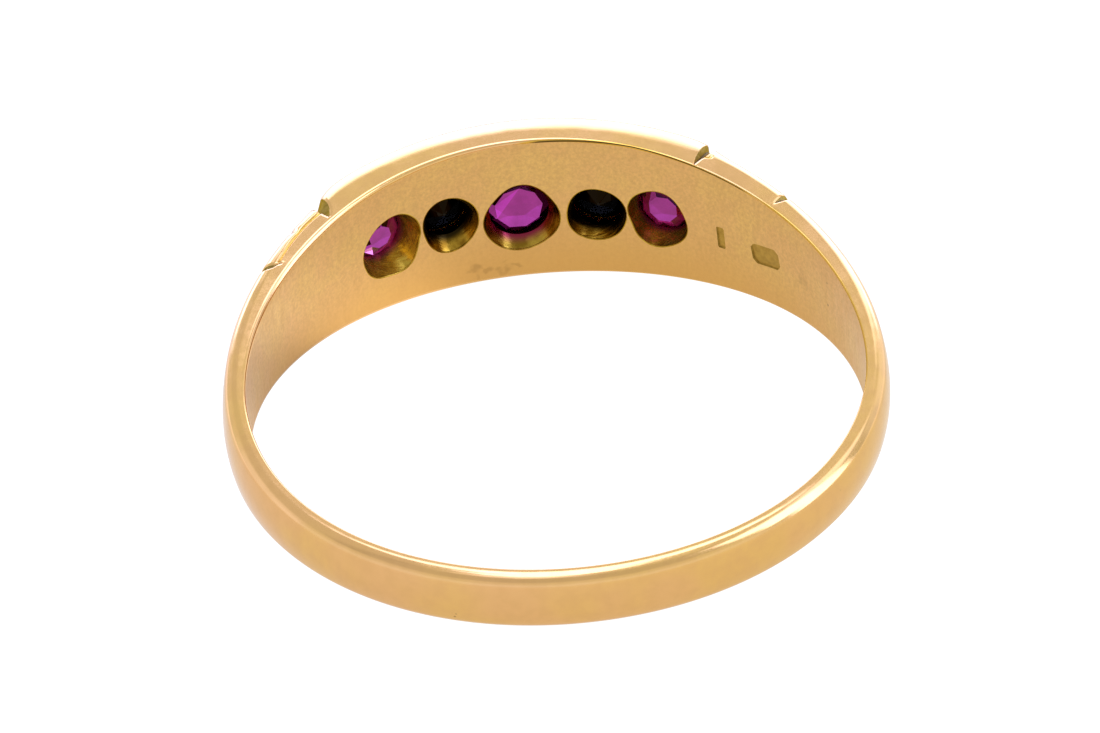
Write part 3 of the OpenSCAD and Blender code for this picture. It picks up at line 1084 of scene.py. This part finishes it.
def polished_gold():
    material, n = new_material("gold_polished")
    ring = n.ring()
    patches = n.noise(ring, scale=0.32)
    small = n.noise(ring, scale=2.2, detail=3, roughness=0.6)
    colour = n.blend(PINK_GOLD, YELLOW_GOLD, patches, 0.38, 0.62)
    colour = n.blend(colour, DULL_GOLD, small, 0.35, 0.7, share=0.5)
    colour = worn(n, ring, SHANK_PITS, colour)
    # Painted shade: a deeper yellow in the grooves, and a dark reflection painted along the inner rim
    painted_shade = n.painted_shade()
    colour = n.blend(colour, GROOVE_PAINTED_SHADE_GOLD, painted_shade, 0.05, 0.45)
    colour = n.blend(colour, RIM_PAINTED_SHADE, painted_shade, 0.5, 0.9)
    swirls = n.noise(n.vector("MULTIPLY", ring, (0.6, 0.6, 14)), scale=1, detail=3, roughness=0.6)
    grain = n.noise(ring, scale=14, detail=3, roughness=0.6)
    rough = n.math("ADD", n.span(grain, 0.3, 0.7, 0.1, 0.16), n.span(swirls, 0.35, 0.7, 0, 0.05))
    waves = n.noise(ring, scale=1.1, detail=1)
    low = n.bump(waves, strength=0.3, distance=0.03 * MM)
    normal = n.bump(swirls, strength=0.08, distance=0.01 * MM, below=low)
    n.surface(colour, rough, normal, Metallic=1)
    return material


def satin_gold():
    material, n = new_material("gold_satin")
    ring = n.ring()
    patches = n.noise(ring, scale=0.55, detail=3, roughness=0.6)
    upright = n.noise(n.vector("MULTIPLY", ring, (4, 4, 0.7)), scale=1, detail=5, roughness=0.75)
    speckle = n.noise(ring, scale=9, detail=4, roughness=0.75)
    colour = n.blend(WALL_GOLD, PALE_WALL_GOLD, patches, 0.35, 0.65)
    colour = n.blend(colour, STREAK_GOLD, upright, 0.35, 0.7, share=0.3)
    colour = n.blend(colour, SPECKLE_GOLD, speckle, 0.3, 0.7, share=0.8)
    # Painted shade: darker towards the bottom of the wall
    colour = n.mix(n.span(n.part(ring, "Z"), *SHADED_LOW_WALL, 0), colour, SHADED_LOW_WALL_GOLD)
    colour = worn(n, ring, WALL_PITS, colour)
    swirl = n.noise(ring, scale=2.5, output="Color")
    bent = n.vector("MULTIPLY_ADD", swirl, STAIN_BEND, ring)
    colour = worn(n, bent, WALL_STAINS, colour)
    rough = n.math("ADD", n.span(upright, 0.3, 0.7, 0.3, 0.38), n.span(speckle, 0.3, 0.7, 0, 0.06))
    low = n.bump(speckle, strength=0.3, distance=0.01 * MM)
    normal = n.bump(upright, strength=0.35, distance=0.012 * MM, below=low)
    n.surface(colour, rough, normal, Metallic=1)
    return material


def seat_gold(name, dark, pale, start, end, deep, metallic):
    material, n = new_material(name)
    ring = n.ring()
    patches = n.noise(ring, scale=1.6, detail=4, roughness=0.6)
    rings_cut = n.noise(n.vector("MULTIPLY", ring, (1.5, 9, 1.5)), scale=1, detail=3, roughness=0.6)
    colour = n.blend(dark, pale, patches, 0.35, 0.65)
    # Turns to painted shade, and by the rubies to a painted crimson reflection, deeper in the seat
    colour = n.blend(colour, deep, n.painted_shade(), start, end)
    rough = n.span(rings_cut, 0.3, 0.7, 0.16, 0.3)
    low = n.bump(patches, strength=0.4, distance=0.03 * MM)
    normal = n.bump(rings_cut, strength=0.5, distance=0.02 * MM, below=low)
    n.surface(colour, rough, normal, Metallic=metallic, Specular_Tint=SEAT_SHEEN)
    return material


def rough_gold(name, scale, detail, roughness, dark, pale, least, greatest, strength, sheen):
    material, n = new_material(name)
    grain = n.noise(n.ring(), scale, detail, roughness)
    colour = n.blend(dark, pale, grain, 0.3, 0.7)
    normal = n.bump(grain, strength, distance=0.02 * MM)
    n.surface(colour, n.span(grain, 0.3, 0.7, least, greatest), normal, Metallic=1, Specular_Tint=sheen)
    return material


def ruby_glass(name, dark, light):
    material, n = new_material(name)
    spot = n.spot_mm()
    silk = n.noise(spot, scale=1.8, detail=3)
    colour = n.blend(dark, light, silk, 0.35, 0.65)
    scratches = n.noise(spot, scale=22)
    normal = n.bump(silk, strength=0.05, distance=0.01 * MM)
    n.surface(colour, n.span(scratches, 0.4, 0.7, 0, 0.04), normal,
              Transmission_Weight=1, IOR=RUBY_IOR, Specular_Tint=RUBY_SHEEN)
    return material


def diamond_glass(name, tint, sheen):
    material, n = new_material(name)
    spot = n.spot_mm()
    dust = n.noise(spot, scale=9, detail=3)
    dusty = (*(tint * share for share in DUST_TINT), 1)
    colour = n.blend((tint, tint, tint, 1), dusty, dust, 0.5, 0.8)
    normal = n.bump(dust, strength=0.02, distance=0.01 * MM)
    n.surface(colour, n.span(dust, 0.45, 0.75, 0, 0.05), normal,
              Transmission_Weight=1, IOR=DIAMOND_IOR, Specular_Tint=sheen)
    return material


def add_object(name, data):
    thing = bpy.data.objects.new(name, data)
    bpy.context.scene.collection.objects.link(thing)
    return thing


def add_piece(name, mesh, materials, node):
    piece = add_object(name, mesh)
    for material in materials:
        mesh.materials.append(material)
    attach(piece, "root")
    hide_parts(node)


# Studio

def floor_spot(n, spot, x, y, inner, outer, more):
    """A round patch on the floor, in millimetres: painted light, and painted shadow where it is below
    nought.
    """
    away = n.vector("DISTANCE", spot, (x * MM, y * MM, 0), output="Value")
    return n.span(away, inner * MM, outer * MM, more, 0)


def floor_light(n):
    """Light of the floor: its own glow with spots of painted light and painted shadow, and a painted pool
    of the back light behind the head.
    """
    spot = n.spot()
    glow = FLOOR_GLOW
    for patch in FLOOR_SPOTS:
        glow = n.math("ADD", glow, floor_spot(n, spot, *patch))
    reach = FLOOR_TINT_SPAN * MM
    own = n.scaled(n.blend(*FLOOR_TINTS, n.part(spot, "X"), -reach, reach), glow)
    start, full, azimuth, half, soft, strength = FLOOR_BOX
    far = n.math("ADD", floor_spot(n, spot, 0, 0, start, full, -1), 1)
    ahead = (math.sin(math.radians(azimuth)), math.cos(math.radians(azimuth)), 0)
    towards = n.vector("NORMALIZE", n.vector("MULTIPLY", spot, (1, 1, 0)))
    aside = n.math("ARCCOSINE", n.vector("DOT_PRODUCT", towards, ahead, output="Value"))
    share = n.span(aside, math.radians(half), math.radians(half + soft), strength, 0)
    return n.vector("ADD", own, n.scaled(BOX_LIGHT, n.math("MULTIPLY", far, share)))


def add_floor():
    """A pale floor, plain white to the camera."""
    mesh = bpy.data.meshes.new("floor")
    h = FLOOR_HALF
    mesh.from_pydata([(-h, -h, 0), (h, -h, 0), (h, h, 0), (-h, h, 0)], [], [(0, 1, 2, 3)])
    floor = add_object("floor", mesh)
    material, n = new_material("floor_white")
    shown = n.mix(n.camera_sees(), floor_light(n), WHITE)
    n.surface(FLOOR_PAINT, FLOOR_ROUGHNESS, Emission_Color=shown, Emission_Strength=1)
    mesh.materials.append(material)


def window(n, look, azimuth, half_a, soft_a, elevation, half_e, soft_e, strength):
    """Strength inside a patch of the sky, with soft edges. Azimuth 0 is the back, 90 the right."""
    a = math.radians(azimuth)
    height = n.part(look, "Z")
    level = n.vector("DOT_PRODUCT", look, (math.sin(a), math.cos(a), 0), output="Value")
    flat = n.math("POWER", n.math("SUBTRACT", 1, n.math("POWER", height, 2)), 0.5)
    aside = n.math("ARCCOSINE", n.math("DIVIDE", level, n.math("MAXIMUM", flat, LEAST_LEVEL)))
    above = n.math("SUBTRACT", n.math("ARCSINE", height), math.radians(elevation))
    across = n.span(aside, math.radians(half_a), math.radians(half_a + soft_a), 1, 0)
    up = n.span(n.math("ABSOLUTE", above), math.radians(half_e), math.radians(half_e + soft_e), 1, 0)
    return n.math("MULTIPLY", n.math("MULTIPLY", across, up), strength)


def add_world():
    """A white studio with soft boxes behind, to the right and above, and a dim front."""
    world = bpy.data.worlds.new("studio")
    bpy.context.scene.world = world
    world.use_nodes = True
    n = Nodes(world.node_tree)
    look = n.add("ShaderNodeTexCoord").outputs["Generated"]
    plain = 1
    for shade in SHADES:
        plain = n.math("MULTIPLY", n.math("SUBTRACT", 1, window(n, look, *shade)), plain)
    boxes = 0
    for box in SOFT_BOXES:
        boxes = n.math("MAXIMUM", window(n, look, *box), boxes)
    for haze in HAZE:
        boxes = n.math("ADD", boxes, window(n, look, *haze))
    light = n.vector("ADD", n.scaled(BASE_LIGHT, plain), n.scaled(BOX_LIGHT, boxes))
    studio = n.add("ShaderNodeBackground", {"Color": light})
    backdrop = n.add("ShaderNodeBackground", {"Color": WHITE, "Strength": BACKDROP})
    shaders = {0: n.camera_sees(), 1: studio.outputs[0], 2: backdrop.outputs[0]}
    both = n.add("ShaderNodeMixShader", shaders)
    n.add("ShaderNodeOutputWorld", {"Surface": both.outputs[0]})


def add_camera():
    data = bpy.data.cameras.new("camera")
    camera = add_object("camera", data)
    data.lens = CAMERA_LENS
    data.sensor_width = SENSOR_WIDTH
    data.sensor_fit = "HORIZONTAL"
    data.clip_start, data.clip_end = CAMERA_CLIP
    aim = CAMERA_AIM - CAMERA_PLACE
    camera.location = CAMERA_PLACE * MM
    camera.rotation_mode = "QUATERNION"
    roll = Quaternion((0, 0, 1), -CAMERA_ROLL)
    camera.rotation_quaternion = aim.to_track_quat("-Z", "Y") @ roll
    bpy.context.scene.camera = camera


def main():
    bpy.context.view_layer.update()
    gold = [polished_gold(), satin_gold()]
    gold += [rough_gold(*looks) for looks in ROUGH_GOLDS]
    gold += [seat_gold(*looks) for looks in SEAT_GOLDS]
    add_piece("band", build_band(), gold, "ring_band")
    glass = {
        "ruby": [ruby_glass(*tints) for tints in RUBY_TINTS],
        "diamond": [
            diamond_glass("diamond_front", DIAMOND_FRONT_TINT, WHITE),
            diamond_glass("diamond_back", DIAMOND_BACK_TINT, DIAMOND_SHEEN),
        ],
    }
    for name, stone, ledge, hole in STONES:
        slot = name.split("_")[0]
        add_piece(name + "_cut", stone_mesh(name, stone), glass[slot], name)
    add_floor()
    add_world()
    add_camera()
    scene = bpy.context.scene
    scene.view_settings.view_transform = "Standard"
    scene.cycles.use_denoising = True


main()
